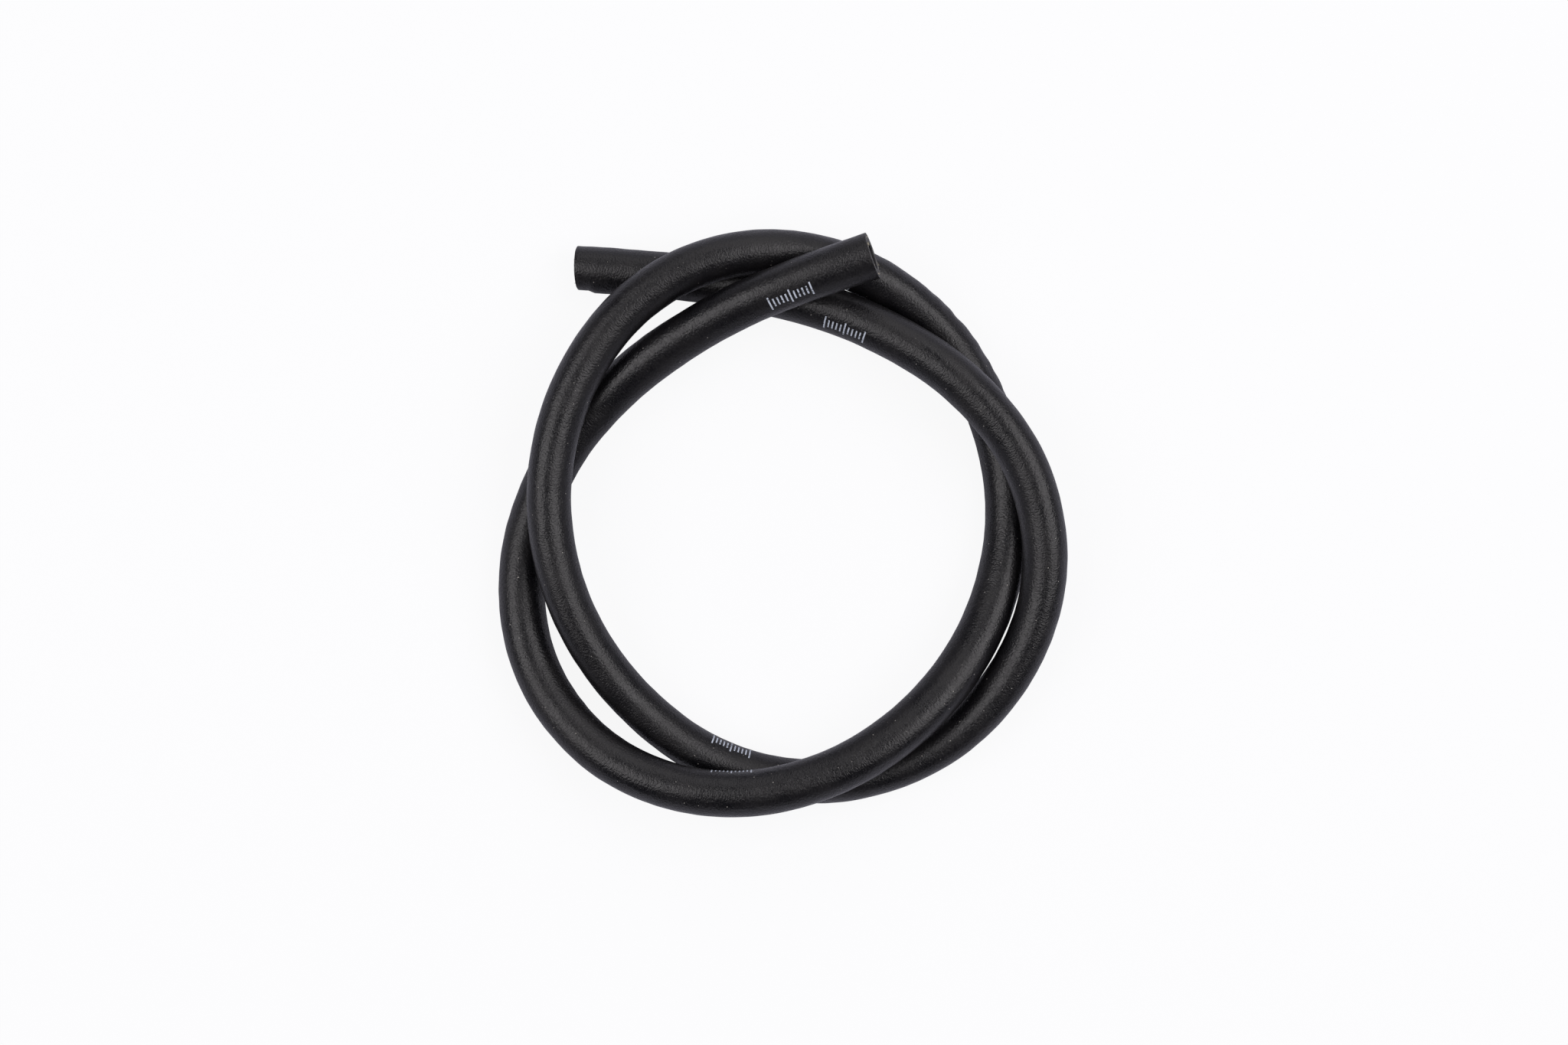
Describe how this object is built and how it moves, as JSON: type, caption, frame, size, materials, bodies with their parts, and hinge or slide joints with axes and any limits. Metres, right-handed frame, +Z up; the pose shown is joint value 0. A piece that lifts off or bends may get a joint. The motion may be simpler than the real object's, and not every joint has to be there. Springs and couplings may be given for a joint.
{
  "type": "reinforced rubber hose",
  "caption": "Black textile-reinforced rubber hose with plain square-cut ends, laid in two loose interlaced loops.",
  "frame": {"origin": "on the surface that the hose lies on, under the middle of the loops' bounding box", "axes": "+Z up, +X the way the top free end points, +Y towards the side of the loops where the two free ends are"},
  "size_m": [0.1649, 0.1693, 0.0376],
  "materials": {
    "cover_rubber": "satin, fine pebbled grain",
    "liner_rubber": "matte, smooth extruded",
    "braid_yarn": "undyed multifilament yarn"
  },
  "bodies": {
    "root": {"inner_tube": "liner_rubber", "textile_braid": "braid_yarn", "outer_cover": "cover_rubber"}
  },
  "joints": []
}
